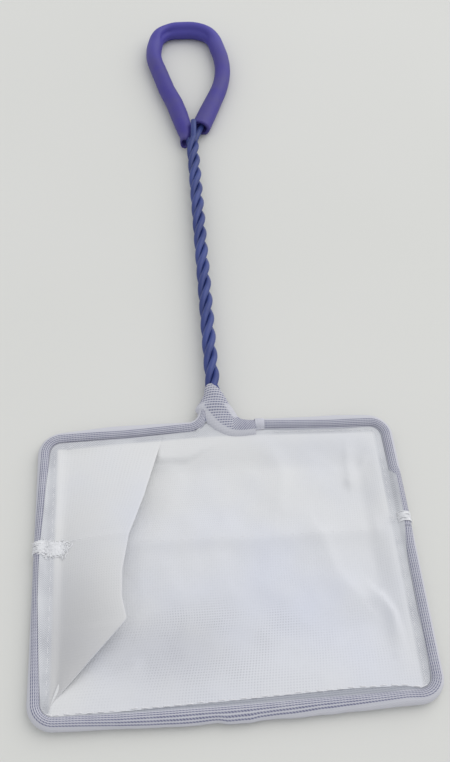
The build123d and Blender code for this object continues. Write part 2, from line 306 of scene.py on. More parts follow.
WIRE_DARK = (0.030, 0.047, 0.190, 1)
WIRE_LIGHT = (0.044, 0.067, 0.250, 1)
GRIP_DARK = (0.068, 0.057, 0.235, 1)
GRIP_LIGHT = (0.054, 0.042, 0.265, 1)
GRIP_LIT_TOP = (0.075, 0.066, 0.35, 1)
THREAD_DARK = (0.70, 0.70, 0.73, 1)
THREAD_LIGHT = (0.86, 0.86, 0.87, 1)
TACK_DARK = (0.76, 0.77, 0.80, 1)
TACK_LIGHT = (0.88, 0.885, 0.90, 1)
WRAP_DARK = (0.60, 0.605, 0.67, 1)
WRAP_LIGHT = (0.72, 0.725, 0.79, 1)

coating = plastic("wire_pvc", WIRE_DARK, WIRE_LIGHT, WIRE_LIGHT, roughness=0.42, specular=0.4)
tube_skin = plastic("grip_pvc", GRIP_DARK, GRIP_LIGHT, GRIP_LIT_TOP, roughness=0.52, specular=0.32)
core_metal = steel()
tape_material = tape_cloth()
thread_material = thread_yarn("white_thread", THREAD_DARK, THREAD_LIGHT)
tack_material = thread_yarn("wound_thread", TACK_DARK, TACK_LIGHT)
collar_thread = thread_yarn("collar_thread", WRAP_DARK, WRAP_LIGHT)
net_material = net_mesh()


# Mesh tools

ARC_DENSITY = 1.6


def add_mesh(name, points, faces, material):
    """A smooth-shaded mesh piece from points in millimetres."""
    mesh = bpy.data.meshes.new(name)
    mesh.from_pydata((np.asarray(points, float) * MM).tolist(), [], faces)
    mesh.polygons.foreach_set("use_smooth", [True] * len(mesh.polygons))
    mesh.materials.append(material)
    mesh.update()
    obj = bpy.data.objects.new(name, mesh)
    bpy.context.scene.collection.objects.link(obj)
    return obj


def add_values(obj, name, values):
    attribute = obj.data.attributes.new(name, "FLOAT", "POINT")
    attribute.data.foreach_set("value", np.asarray(values, np.float32).ravel())


def grid_faces(rows, columns, closed=False):
    """Quads between neighbouring rows of points; closed joins each row's end to its start."""
    faces = []
    for r in range(rows - 1):
        for c in range(columns if closed else columns - 1):
            a = r * columns + c
            b = r * columns + (c + 1) % columns
            faces.append((a, b, b + columns, a + columns))
    return faces


def closed_faces(rows, columns):
    """Quads round closed rows of points, and a cap on the first and the last row."""
    faces = grid_faces(rows, columns, True)
    last = (rows - 1) * columns
    faces.append(tuple(range(columns))[::-1])
    faces.append(tuple(range(last, last + columns)))
    return faces


def rounded(points, radii, step):
    """Points about a step apart on straight runs that arcs join, one radius to a corner."""
    points = [np.array(p, float) for p in points]
    line = [points[0]]

    def run_to(end):
        start = line[-1]
        count = max(1, int(np.linalg.norm(end - start) / step))
        line.extend(start + (end - start) * (k + 1) / count for k in range(count))

    for before, here, after, radius in zip(points, points[1:], points[2:], radii):
        inward = (before - here) / np.linalg.norm(before - here)
        onward = (after - here) / np.linalg.norm(after - here)
        half = math.acos(np.clip(inward @ onward, -1, 1)) / 2
        reach = radius / math.tan(half)
        middle = here + (inward + onward) / np.linalg.norm(inward + onward) * radius / math.sin(half)
        first = here + inward * reach
        run_to(first)
        start_arm = first - middle
        end_arm = here + onward * reach - middle
        turn = math.pi - 2 * half
        count = max(2, int(radius * turn / step * ARC_DENSITY))
        for k in range(1, count + 1):
            t = turn * k / count
            arm = (start_arm * math.sin(turn - t) + end_arm * math.sin(t)) / math.sin(turn)
            line.append(middle + arm)
    run_to(points[-1])
    return np.array(line)


def curve(stations, steps):
    """A smooth line through rows of numbers, with this many steps from each row to the next."""
    rows = np.asarray(stations, float)
    rows = np.vstack([2 * rows[0] - rows[1], rows, 2 * rows[-1] - rows[-2]])
    line = []
    for p0, p1, p2, p3 in zip(rows, rows[1:], rows[2:], rows[3:]):
        for k in range(steps):
            t = k / steps
            bend = (2 * p0 - 5 * p1 + 4 * p2 - p3) * t * t + (3 * p1 - p0 - 3 * p2 + p3) * t**3
            line.append(p1 + ((p2 - p0) * t + bend) / 2)
    line.append(rows[-2])
    return np.array(line)


def directions(line):
    ahead = np.gradient(line, axis=0)
    return ahead / np.linalg.norm(ahead, axis=1)[:, None]


def travels(line):
    """The distance along a line of each of its points."""
    return np.concatenate([[0], np.cumsum(np.linalg.norm(np.diff(line, axis=0), axis=1))])


def tube(line, radii, sides):
    """Points and faces of a closed tube along a line, with flat ends."""
    line = np.asarray(line, float)
    radii = np.broadcast_to(np.asarray(radii, float), len(line))
    ahead = directions(line)
    out = np.cross(ahead[0], UP)
    points = []
    for p, d, r in zip(line, ahead, radii):
        out = out - d * (out @ d)
        out = out / np.linalg.norm(out)
        other = np.cross(d, out)
        for k in range(sides):
            a = math.tau * k / sides
            points.append(p + r * (math.cos(a) * out + math.sin(a) * other))
    return points, closed_faces(len(line), sides)


def add_tubes(name, tubes, material):
    """One piece made of several tubes."""
    points = []
    faces = []
    for tube_points, tube_faces in tubes:
        start = len(points)
        points.extend(tube_points)
        faces.extend(tuple(start + k for k in face) for face in tube_faces)
    return add_mesh(name, points, faces, material)


# The hoop's line, from the middle of the hoop

def bow(x):
    """How far the back of the hoop bows towards the stem at this x."""
    bend = LEFT_BEND_X if x < 0 else RIGHT_BEND_X
    share = (x - bend) / (math.copysign(SIDE_X, bend) - bend)
    return HOOP_BOW * (1 - min(1.0, max(0.0, share)))


def inset(x, y):
    """How far a point lies inside the line of the hoop's wire."""
    over_x = abs(x) - SIDE_X + CORNER_RADIUS
    over_y = (y - bow(x) if y > 0 else -y) - HALF_DEPTH + CORNER_RADIUS
    corner = math.hypot(max(over_x, 0.0), max(over_y, 0.0))
    return CORNER_RADIUS - corner - min(max(over_x, over_y), 0.0)


# Where the mesh's edge lies on the tape, as insets along each side of the hoop
HEM_FRONT_X = [-72, -58, -44, -29, -7, 23, 42, 62, 68, 72]
HEM_FRONT = [2.4, 2.5, 2.4, 2.9, 3.3, 4.2, 4.7, 4.3, 3.2, 2.5]
HEM_BACK_X = [-72, -60, -37, -21, -9, -4, 2, 7, 20, 40, 57, 67, 72]
HEM_BACK = [2.6, 2.8, 3.3, 2.6, 2.4, -1.6, -1.4, 1.6, 3.3, 3.6, 3.5, 3.0, 2.8]
HEM_LEFT_Y = [-52, -29, -13, 0, 10, 24, 35, 52]
HEM_LEFT = [2.4, 1.0, 0.2, 0.0, 0.2, 1.1, 1.6, 2.6]
HEM_RIGHT_Y = [-52, -40, -28, -7, 0, 11, 15, 32, 34.5, 38, 52]
HEM_RIGHT = [2.5, 2.1, 2.4, 2.3, 1.8, 0.6, 0.3, 0.2, 2.5, 2.5, 2.8]


# The hoop's edging tape

# Along the sides: how far in the dark lines run, and how far out the tape puffs
HOOP_SIDES = {
    "line_front": ([-72, -58, -44, -7, 23, 42, 62, 72], [0.6, 0.2, -0.5, -0.7, 0.0, 0.5, 1.5, 1.0]),
    "line_left": ([-52, -29, -13, 0, 10, 24, 52], [0.8, -0.2, -0.8, -1.0, -0.8, -0.1, 0.9]),
    "line_right": ([-52, 0, 11, 15, 32, 36, 52], [0.4, 0.3, -0.8, -1.3, -1.3, 0.6, 0.9]),
    "line_back": ([-72, -40, -12, 20, 50, 72], [0.9, 1.7, 1.1, 1.1, 1.8, 1.2]),
    "puff_front": ([-72, -44, -29, 21, 40, 60, 72], [0.0, 0.7, 1.3, 1.4, 0.9, 0.2, 0.0]),
    "puff_back": (
        [-72, -60, -48, -25, -12, 20, 40, 52, 66, 72],
        [0.0, 0.6, 1.2, 0.7, 0.0, 0.0, 0.5, 1.1, 0.8, 0.4],
    ),
}
LINES_HALF = 2.0
LINES_BEYOND = 0.3
LINES_FADE = 0.5
INNER_STRIPES = 0.4
OUTER_STRIPES = 0.05
LEAF_FADE = 0.6
RIB_RISE = 0.06
TAPE_STEP = 1.0
ARC_STEP = 0.17
LEAF_ROWS = 14
UNDER_ROWS = 6
LEAF_END_ROUND = 0.2
LEAF_TOP_ROUND = 0.15
LEAF_LOW_ROUND = 0.1
HIDDEN_ACROSS = 8.0
ON_ROUND = 0.01
LEG_TOP = 71.5
LEG_TOP_X = -4.3
LEG_TOP_Z = 5.2
LEG_BEND_RADIUS = 6.5
LEG_BEND_LEFT = 0.8
LEG_RUN = 5.0
LEG_PINCH = 0.2
LEG_NARROWER = 3.4
BY_STEM_X = -18.0
BY_STEM_RUN = 10.0
TAPE_SWELL = Ripple(rise=0.02, size=9.0, seed=3.0)
LINES_DRIFT = Ripple(rise=0.2, size=22.0, seed=8.0)
PUFF_UNEVEN = Ripple(rise=0.25, size=7.0, seed=9.0)
LEAF_WAVE = Ripple(rise=0.05, size=5.0, seed=5.0)
PUFF_DROP = 0.22
FACES_FRONT = 0.9
LOOSE_RISE = 0.7
LOOSE_SPAN = Span(start=-8.0, end=8.0, run_in=4.0, run_out=5.0)


def flat_point(x, y):
    return (x, HOOP_Y + y, HOOP_Z)


def back_point(x):
    return flat_point(x, HALF_DEPTH + bow(x))


tape_lines = {
    "front": rounded([
        flat_point(-SIDE_X, SEAM_Y),
        flat_point(-SIDE_X, -HALF_DEPTH),
        flat_point(SIDE_X, -HALF_DEPTH),
        flat_point(SIDE_X, SEAM_Y),
    ], 2 * [CORNER_RADIUS], TAPE_STEP),
    "back_left": rounded([
        (LEG_TOP_X, HOOP_Y + LEG_TOP, LEG_TOP_Z),
        back_point(LEFT_BEND_X - LEG_BEND_LEFT),
        flat_point(-SIDE_X, HALF_DEPTH),
        flat_point(-SIDE_X, SEAM_Y),
    ], [LEG_BEND_RADIUS, CORNER_RADIUS], TAPE_STEP),
    "back_right": rounded([
        flat_point(SIDE_X, SEAM_Y),
        flat_point(SIDE_X, HALF_DEPTH),
        back_point(COLLAR_RIGHT),
    ], [CORNER_RADIUS], TAPE_STEP),
}


def along_hoop(kind, x, y, inward):
    """A value of the hoop's sides at a point, mixed by the point's inward direction."""
    total = 0.0
    parts = (
        ("front", inward[1], x),
        ("back", -inward[1], x),
        ("left", inward[0], y),
        ("right", -inward[0], y),
    )
    for side, share, place in parts:
        if share > 0 and kind + side in HOOP_SIDES:
            total += share**2 * np.interp(place, *HOOP_SIDES[kind + side])
    return total


def tape_section(reach):
    """The tape's outline as rows of inward, up and across, round from the slot over the top."""
    join = math.asin(LEAF_TOP / RIM_RADIUS)
    join_in = RIM_RADIUS * math.cos(join)
    round_top = RIM_RADIUS * (math.pi / 2 - join)
    rows = [(SLOT_DEPTH, SLOT, HIDDEN_ACROSS)]
    rows.append((reach - LEAF_END_ROUND, SLOT, HIDDEN_ACROSS))
    rows.append((reach, (SLOT + LEAF_TOP) / 2, round_top + reach - join_in))
    for n in np.linspace(reach - LEAF_TOP_ROUND, join_in, LEAF_ROWS)[:-1]:
        rows.append((n, LEAF_TOP, round_top + n - join_in))
    count = int(RIM_RADIUS * (math.tau - 2 * join) / ARC_STEP)
    for k in range(count + 1):
        a = join + (math.tau - 2 * join) * k / count
        rows.append((RIM_RADIUS * math.cos(a), RIM_RADIUS * math.sin(a), RIM_RADIUS * (math.pi / 2 - a)))
    for n in np.linspace(join_in, reach, UNDER_ROWS)[1:]:
        rows.append((n, -LEAF_TOP, -HIDDEN_ACROSS - n))
    rows.append((reach - LEAF_LOW_ROUND, -SLOT, -2 * HIDDEN_ACROSS))
    rows.append((SLOT_DEPTH, -SLOT, -2 * HIDDEN_ACROSS))
    return np.array(rows)


def make_tape(name, line):
    ahead = directions(line)
    inward = np.cross(UP, ahead)
    inward = inward / np.linalg.norm(inward, axis=1)[:, None]
    above = np.cross(ahead, inward)
    points = []
    across = []
    striped = []
    leaf = []
    for p, n, up in zip(line, inward, above):
        x = p[0]
        y = p[1] - HOOP_Y
        on_leg = ramp(y, HALF_DEPTH + HOOP_BOW, LEG_RUN)
        by_stem = ramp(x, BY_STEM_X, BY_STEM_RUN) if y > 0 and x < 0 else 0.0
        rows = tape_section(LEAF_REACH - LEG_NARROWER * max(on_leg, by_stem))
        pinch = 1 - LEG_PINCH * on_leg
        swell = (1 + wander(x, y, TAPE_SWELL)) * pinch
        line_at = rows[:, 2] - along_hoop("line_", x, y, n) - wander(x, y, LINES_DRIFT)
        band = fade(np.abs(line_at), LINES_HALF + LINES_BEYOND, LINES_FADE)
        rib = RIB_RISE * np.cos(math.tau * line_at / TAPE_PITCH) * band
        on_round = np.hypot(rows[:, 0], rows[:, 1]) < RIM_RADIUS + ON_ROUND
        radial = np.where(on_round, swell + rib / RIM_RADIUS, pinch)
        puff = along_hoop("puff_", x, y, n) * (1 + wander(x, y, PUFF_UNEVEN))
        # A small fold of loose tape at the middle of the front
        if n[1] > FACES_FRONT:
            puff += LOOSE_RISE * window(x, LOOSE_SPAN)
        outer = smooth(-rows[:, 0] / RIM_RADIUS) * on_round
        drop = np.where(on_round & (rows[:, 1] > 0), -PUFF_DROP * puff * outer, 0.0) * max(0.0, n[1])
        sag = np.where(on_round, drop, wander(x, y, LEAF_WAVE))
        for (a, b, _), k, wide, z in zip(rows, radial, outer, sag):
            points.append(p + n * (a * k - puff * wide) + up * b * k + UP * z)
        across.extend(line_at)
        striped.extend(np.maximum(band, np.where(line_at > 0, INNER_STRIPES, OUTER_STRIPES)))
        leaf.extend(ramp(line_at, LINES_HALF, LEAF_FADE))
    points = np.array(points)
    points[:, 2] = np.maximum(points[:, 2], TABLE_CLEAR)
    size = len(rows)
    obj = add_mesh("tape_" + name, points, closed_faces(len(line), size), tape_material)
    add_values(obj, "across", np.array(across) + TAPE_PITCH / 2)
    add_values(obj, "along", np.repeat(travels(line), size))
    add_values(obj, "striped", striped)
    add_values(obj, "leaf", leaf)
    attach(obj, "frame")
    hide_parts("rim_tape_" + name)


for tape_name, tape_line in tape_lines.items():
    make_tape(tape_name, tape_line)


# The mesh bag: one sheet, folded over at the left, that lies collapsed inside the hoop

# x and y run from the middle of the hoop, and the sheet's edge lies on the tape
HEM_LIFT = 0.24
LEAF_CLEAR = 0.1
LEAF_EDGE = LEAF_REACH + LEAF_CLEAR
LEAF_START = math.sqrt(RIM_RADIUS**2 - LEAF_TOP**2)
INNER_X = SIDE_X - LEAF_EDGE
INNER_Y = HALF_DEPTH - LEAF_EDGE
ARC_X = SIDE_X - CORNER_RADIUS
ARC_Y = HALF_DEPTH - CORNER_RADIUS
HEM_STEPS = 11
HEM_BAND = 7.5
HEM_SHARE = 0.4
HEM_WAVE = Ripple(rise=0.06, size=4.0, seed=11.0)
UNDER_COLLAR = Span(start=-10.0, end=10.0, run_in=3.0, run_out=3.0)

# The floor, which dips from the hem to the table, and its folds
FLOOR_STEPS = 125
NET_STEPS = 104
FLOOR_Z = 0.4
LEAST_Z = 0.2
LEAST_RISE = 0.12
DIP_RIGHT = 10.0
DIP_FRONT = 24.0
DIP_BACK = 16.0
FOLDS_GAIN = 1.6
CREASE_POWER = 1.6
CREASES = [
    Crease([(-40.0, 10.1), (14.4, 8.6), (67.0, 8.6)], rise=1.5, left=10.0, right=4.5),
    Crease([(59.4, -19.3), (63.2, -27.3), (64.6, -35.6), (65.7, -47.6)], rise=2.0, left=1.5, right=4.5),
    Crease([(55.0, 31.9), (56.4, 52.1)], rise=0.8, left=1.6, right=4.0),
    Crease([(55.0, 31.9), (63.6, 41.5)], rise=0.8, left=2.0, right=3.0),
    Crease([(22.0, 52.0), (27.0, 38.0), (24.0, 22.0)], rise=0.8, left=4.0, right=6.0),
    Crease([(40.0, 8.0), (44.0, -8.0), (52.0, -20.0)], rise=0.9, left=3.0, right=7.0),
    Crease([(60.0, -48.0), (67.6, -46.0)], rise=0.8, left=1.5, right=2.5),
    Crease([(64.0, -52.0), (62.0, -44.0)], rise=0.7, left=1.5, right=2.5),
    Crease([(-38.0, -41.5), (-60.0, -51.5)], rise=0.9, left=2.0, right=3.0),
]
TOP_FOLD_X = [-26.9, -13.6, -6.7, 8.0]
TOP_FOLD_Y = [45.9, 45.3, 48.7, 56.0]
TOP_FOLD_RISE = 1.2
TOP_FOLD_SPAN = Span(start=-27.5, end=9.0, run_in=2.0, run_out=8.0)
TOP_FOLD_FRONT = 2.2
TOP_FOLD_BACK = 6.0
CRUMPLES = [Ripple(rise=0.55, size=21.0, seed=1.0), Ripple(rise=0.25, size=9.0, seed=2.0)]
RIDGES = Ripple(rise=0.35, size=17.0, seed=4.0)

# The folded-over flap, from the left hem to the fold and back under it
FLAP_STEPS = 34
TURN_COLUMNS = 7
RETURN_COLUMNS = 16
FOLD_Y = [-57.0, -51.1, -27.0, -24.4, -15.2, -4.5, 10.2, 28.6, 46.9, 57.0]
FOLD_X = [-71.0, -66.5, -42.4, -40.2, -42.0, -41.6, -38.8, -32.2, -26.9, -24.0]
FOLD_MIDDLE_X = -40.0
RISE_Y = [-53.7, -48.0, -27.0, -8.0, 12.0, 35.0, 54.6]
RISE = [3.9, 4.8, 8.8, 9.4, 9.2, 7.0, 4.2]
FREE_SPAN = Span(start=-INNER_Y - 1.5, end=INNER_Y + 2.8, run_in=9.0, run_out=5.0)
VALLEY_Z = 2.3
VALLEY_ROUND = 0.45
HEM_SLOPE = 0.3
HEM_LEAVE = 1.5
FLAP_START = 1.0
FLAP_LEAST = 1.5
FLAP_BEFORE = -0.3
FLAP_WAVE = Ripple(rise=0.3, size=12.0, seed=6.0)
FLAP_WAVE_END = 1.2
FLAP_SEAM = Crease([(-60.0, 10.7), (-38.0, 10.7)], rise=0.3, left=1.0, right=2.5)
TURN_PRESSED = 0.06
TURN_FREE = 0.42
LAYER_GAP = 0.1
RETURN_SHARE = 0.6
RETURN_LENGTH = 17.0
RETURN_START = 0.1


def crease_height(x, y, crease):
    """The height of a ridge along a path of points, with its own width on each side."""
    best = math.inf
    side = 1.0
    for (x0, y0), (x1, y1) in zip(crease.path, crease.path[1:]):
        dx = x1 - x0
        dy = y1 - y0
        t = min(1.0, max(0.0, ((x - x0) * dx + (y - y0) * dy) / (dx * dx + dy * dy)))
        off_x = x - x0 - t * dx
        off_y = y - y0 - t * dy
        far = math.hypot(off_x, off_y)
        if far < best:
            best = far
            side = dx * off_y - dy * off_x
    width = crease.left if side > 0 else crease.right
    return crease.rise * math.exp(-((best / width) ** CREASE_POWER))


def over_tape(depth):
    """The height of the mesh where it lies on the tape, this far inside the wire's line."""
    depth = min(depth, LEAF_EDGE)
    if depth < LEAF_START:
        return HOOP_Z + math.sqrt(RIM_RADIUS**2 - min(depth * depth, RIM_RADIUS**2)) + HEM_LIFT
    return HOOP_Z + LEAF_TOP + HEM_LIFT


def hem_height(x, y):
    """The height of the mesh along its hem; under the collar it has no tape to climb over."""
    depth = inset(x, y)
    if y > 0:
        depth = max(depth, LEAF_START * window(x, UNDER_COLLAR))
    return over_tape(depth) + wander(x, y, HEM_WAVE)


def top_fold(x, y, back):
    """The height of the layer that lies over the floor beside the collar."""
    edge = np.interp(x, TOP_FOLD_X, TOP_FOLD_Y)
    depth = Span(edge, back, TOP_FOLD_FRONT, TOP_FOLD_BACK)
    return TOP_FOLD_RISE * window(x, TOP_FOLD_SPAN) * window(y, depth)


def floor_height(x, y):
    """The height of the bag's floor, from the hem down to the table, with its folds."""
    base = hem_height(x, y)
    back = INNER_Y + bow(x)
    low = fade(x, INNER_X, DIP_RIGHT) * window(y, Span(-INNER_Y, back, DIP_FRONT, DIP_BACK))
    folds = sum(crease_height(x, y, crease) for crease in CREASES) + top_fold(x, y, back)
    crumple = sum(wander(x, y, ripple) for ripple in CRUMPLES)
    crumple += RIDGES.rise / 2 - abs(wander(x, y, RIDGES))
    height = base + (FLOOR_Z - base) * low + (folds + crumple) * min(low * FOLDS_GAIN, 1.0)
    return max(height, LEAST_Z + LEAST_RISE * low)


def fold_free(y):
    """How far the fold stands free of the hems: 0 on the tape, 1 well inside."""
    return window(y, FREE_SPAN)


def flap_height(x, y):
    """The height of the folded-over flap between the left hem and the fold."""
    free = fold_free(y)
    base = hem_height(x, y)
    fold = np.interp(y, FOLD_Y, FOLD_X)
    rise = np.interp(y, RISE_Y, RISE)
    out = x + INNER_X
    if out < 0:
        return base
    share = (out - FLAP_START) / max(fold + INNER_X - FLAP_START, FLAP_LEAST)
    share = np.clip(share, FLAP_BEFORE, 1.0)
    climb = VALLEY_Z + (rise - VALLEY_Z) * (1 - (1 - share) ** 2)
    fall = base - HEM_SLOPE * out
    higher = VALLEY_ROUND * math.log(math.exp(fall / VALLEY_ROUND) + math.exp(climb / VALLEY_ROUND))
    higher += wander(x, y, FLAP_WAVE) * share * (FLAP_WAVE_END - share)
    higher += crease_height(x, y, FLAP_SEAM)
    return base + (higher - base) * free * smooth(out / HEM_LEAVE)


def edge_y(x, insets_x, insets, sign):
    """The y of the sheet's front or back edge, which turns with the hoop's corners."""
    depth = np.interp(x, insets_x, insets)
    over = abs(x) - ARC_X
    if over <= 0:
        return sign * (HALF_DEPTH - depth)
    radius = CORNER_RADIUS - depth
    return sign * (ARC_Y + math.sqrt(max(0.0, radius * radius - over * over)))


def sheet_y(x, share):
    """The y of a row of the sheet at this x; share runs from the front to the back edge."""
    front = edge_y(x, HEM_FRONT_X, HEM_FRONT, -1)
    back = edge_y(x, HEM_BACK_X, HEM_BACK, 1) + bow(x)
    return front + (back - front) * share


def half_turn(x, z, radius, side):
    """Half a circle of cloth, from a layer down to the layer under it."""
    angles = np.linspace(0, math.pi, TURN_COLUMNS)
    return [(x + side * radius * math.sin(a), z - radius + radius * math.cos(a)) for a in angles]


def net_row(share):
    """One row of the sheet from the left hem to the right: flap, fold, return and floor."""
    side_y = ARC_Y * (2 * share - 1)
    left = np.interp(side_y, HEM_LEFT_Y, HEM_LEFT) - SIDE_X
    right = SIDE_X - np.interp(side_y, HEM_RIGHT_Y, HEM_RIGHT)
    fold_y = sheet_y(FOLD_MIDDLE_X, share)
    fold_y = sheet_y(np.interp(fold_y, FOLD_Y, FOLD_X), share)
    fold = np.interp(fold_y, FOLD_Y, FOLD_X)
    free = fold_free(fold_y)
    turn = TURN_PRESSED + TURN_FREE * free
    gap = LAYER_GAP * (1 - free)
    top_end = fold - turn
    hem_end = min(left + HEM_BAND, left + HEM_SHARE * (fold - left))
    top_x = np.concatenate([
        np.linspace(left, hem_end, HEM_STEPS)[:-1],
        np.linspace(hem_end, top_end, FLAP_STEPS)[:-1],
    ])
    row = [(x, flap_height(x, sheet_y(x, share)) + gap) for x in top_x]
    top_z = flap_height(top_end, fold_y) + gap
    row.extend(half_turn(top_end, top_z, turn, side=1))
    back_x = fold - min(RETURN_SHARE * (fold + INNER_X), RETURN_LENGTH)
    start_z = top_z - 2 * turn
    end_z = floor_height(back_x, sheet_y(back_x, share)) + 2 * turn - gap / 2
    for k in range(1, RETURN_COLUMNS):
        s = k / RETURN_COLUMNS
        z = start_z + (end_z - start_z) * smooth(RETURN_START + s * (1 - RETURN_START))
        row.append((top_end + (back_x - top_end) * s, z))
    row.extend(half_turn(back_x, end_z, turn, side=-1))
    floor_x = np.concatenate([
        np.linspace(back_x, right - HEM_BAND, FLOOR_STEPS)[1:],
        np.linspace(right - HEM_BAND, right, HEM_STEPS)[1:],
    ])
    row.extend((x, floor_height(x, sheet_y(x, share)) - gap) for x in floor_x)
    return [(x, HOOP_Y + sheet_y(x, share), z) for x, z in row]


def follow_bag(obj):
    """Bakes a piece of the bag's placement into its mesh."""
    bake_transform(obj)


# Where the mesh's tint and weave change, where shade is painted on it, and by how much
HEM_SHOWS = 5.2
HEM_FADE = 1.2
LOW_LEFT = Spot(-25, -36, half_x=26, half_y=15)
LOWER = Spot(18, -26, half_x=60, half_y=40)
STRETCHED = Spot(-5, -34, half_x=42, half_y=22)
FLAP_SHADE = Spot(-62, -34, half_x=22, half_y=36)
BY_FOLD = Spot(-33, 12, half_x=9, half_y=26)
COOL_BY_FOLD = 0.5
COOL_SHADE_LOW_LEFT = 0.7
COOL_LOWER = 0.6
PAINTED_SHADE_FLAP = 0.75
PAINTED_SHADE_LOW_LEFT = 0.48
OPEN_FLAP = 0.12
OPEN_FLOOR = 0.1
OPEN_STRETCHED = 0.8


def within(x, y, spot):
    """1 in the middle of an oval spot, fading out round it."""
    return np.exp(-(((x - spot.x) / spot.half_x) ** 2) - ((y - spot.y) / spot.half_y) ** 2)


def make_net():
    band = HEM_BAND / (2 * HALF_DEPTH)
    shares = np.concatenate([
        np.linspace(0, band, HEM_STEPS)[:-1],
        np.linspace(band, 1 - band, NET_STEPS)[:-1],
        np.linspace(1 - band, 1, HEM_STEPS),
    ])
    points = np.array([net_row(share) for share in shares])
    rows, columns = points.shape[:2]
    obj = add_mesh("net_bag", points.reshape(-1, 3), grid_faces(rows, columns), net_material)
    x = points[:, :, 0]
    y = points[:, :, 1] - HOOP_Y
    back = HALF_DEPTH + np.vectorize(bow)(x)
    side_depth = np.minimum(SIDE_X - np.abs(x), back - y)
    low_left = within(x, y, LOW_LEFT)
    # At the low left the cool tint is part of the painted shadow beside the fold: darker and bluer
    cool = np.maximum(COOL_SHADE_LOW_LEFT * low_left, COOL_LOWER * within(x, y, LOWER))
    weave = OPEN_FLOOR + OPEN_STRETCHED * within(x, y, STRETCHED)
    # Painted shade on the flap's lower part, and a painted shadow on the floor beside the fold's lower
    # end
    painted_shade = PAINTED_SHADE_FLAP * within(x, y, FLAP_SHADE)
    on_flap = np.arange(columns) < HEM_STEPS + FLAP_STEPS
    add_values(obj, "warp", np.tile(travels(points[rows // 2]), rows))
    add_values(obj, "weft", y)
    add_values(obj, "hem", 1 - ramp(side_depth, HEM_SHOWS, HEM_FADE))
    add_values(obj, "cool", np.where(on_flap, COOL_BY_FOLD * within(x, y, BY_FOLD), cool))
    add_values(obj, "painted_shade", np.where(on_flap, painted_shade, PAINTED_SHADE_LOW_LEFT * low_left))
    add_values(obj, "open", np.where(on_flap, OPEN_FLAP, weave))
    follow_bag(obj)
    hems = ["mesh_hem_" + name for name in tape_lines]
    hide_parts("net_front_panel", "net_back_panel", *hems)
    return obj


net = make_net()


# Stitches and threads

STITCH_LENGTH = 2.6
STITCH_PITCH = 4.0
STITCH_POINTS = 9
STITCH_SIDES = 7
STITCH_DIVE = 1.8
DIVE_POWER = 4
FINE_RADIUS = 0.1
FINE_RISE = -0.2
FINE_DEPTH = 4.6
PLAIN_THICKER = 0.1
PLAIN_HIGHER = 0.5
PLAIN_INSIDE = 0.5
PLAIN_FROM = 0.6
PLAIN_RUN = 0.3
SHIFT_ALONG = 0.25
SHIFT_ACROSS = 0.2
STITCH_SLANT = 0.12
TACK_CLEAR = 2.6
SEAM_STITCH = 2.2
SEAM_RISE = -0.1
SLOPE_REACH = 1.0


def stitch(place, ahead, length, radius, rise):
    """A stitch that comes up out of the cloth, lies along it and goes down again."""
    line = []
    for t in np.linspace(-0.5, 0.5, STITCH_POINTS):
        lift = radius * rise - (2 * abs(t)) ** DIVE_POWER * radius * STITCH_DIVE
        line.append(place + ahead * length * t + UP * lift)
    return tube(line, radius, STITCH_SIDES)


def hem_row(name, line):
    """Stitches through the hem: plain along the front, fine and half sunk elsewhere."""
    ahead = directions(line)
    travel = travels(line)
    run = travel[-1] - 2 * TACK_CLEAR
    count = int(run / STITCH_PITCH)
    row = []
    for k in range(count):
        s = TACK_CLEAR + run * (k + 0.5) / count + draw.uniform(-SHIFT_ALONG, SHIFT_ALONG)
        place = np.array([np.interp(s, travel, line[:, i]) for i in range(3)])
        way = np.array([np.interp(s, travel, ahead[:, i]) for i in range(3)])
        side = np.cross(UP, way)
        y = place[1] - HOOP_Y
        if y > HALF_DEPTH + HOOP_BOW:
            continue
        plain = ramp(side[1], PLAIN_FROM, PLAIN_RUN)
        plain_depth = np.interp(place[0], HEM_FRONT_X, HEM_FRONT) + PLAIN_INSIDE
        depth = FINE_DEPTH + plain * (plain_depth - FINE_DEPTH)
        depth += draw.uniform(-SHIFT_ACROSS, SHIFT_ACROSS)
        seat = place + side * depth
        seat[2] = over_tape(depth)
        slant = way + side * draw.uniform(-STITCH_SLANT, STITCH_SLANT)
        radius = FINE_RADIUS + PLAIN_THICKER * plain
        row.append(stitch(seat, slant, STITCH_LENGTH, radius, FINE_RISE + PLAIN_HIGHER * plain))
    obj = add_tubes("stitches_" + name, row, thread_material)
    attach(obj, "frame")
    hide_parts("hem_stitching_" + name)


for tape_name, tape_line in tape_lines.items():
    hem_row(tape_name, tape_line)


def seam_row(name, node, height, start, end):
    """Fine stitches along a seam of the bag, on its surface."""
    start = np.array(start)
    end = np.array(end)
    way = np.array([*(end - start), 0.0]) / np.linalg.norm(end - start)
    count = int(np.linalg.norm(end - start) / STITCH_PITCH)
    row = []
    for k in range(count):
        x, y = start + (end - start) * (k + 0.5) / count
        low, high = [height(x + way[0] * off, y + way[1] * off) for off in (-SLOPE_REACH, SLOPE_REACH)]
        slope = way + UP * (high - low) / (2 * SLOPE_REACH)
        place = np.array([x, HOOP_Y + y, (low + high) / 2])
        row.append(stitch(place, slope, SEAM_STITCH, FINE_RADIUS, SEAM_RISE))
    obj = add_tubes(name, row, thread_material)
    follow_bag(obj)
    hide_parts(node)


seam_row("seam_left", "left_seam_thread", flap_height, start=(-61.0, 10.7), end=(-40.5, 10.6))
seam_row("seam_bottom", "bottom_seam_thread", floor_height, start=(-36.0, 10.0), end=(59.0, 8.6))
seam_row("seam_right", "right_seam_thread", floor_height, start=(60.0, 8.6), end=(68.5, 8.6))


# The tape that wraps the foot of the stem

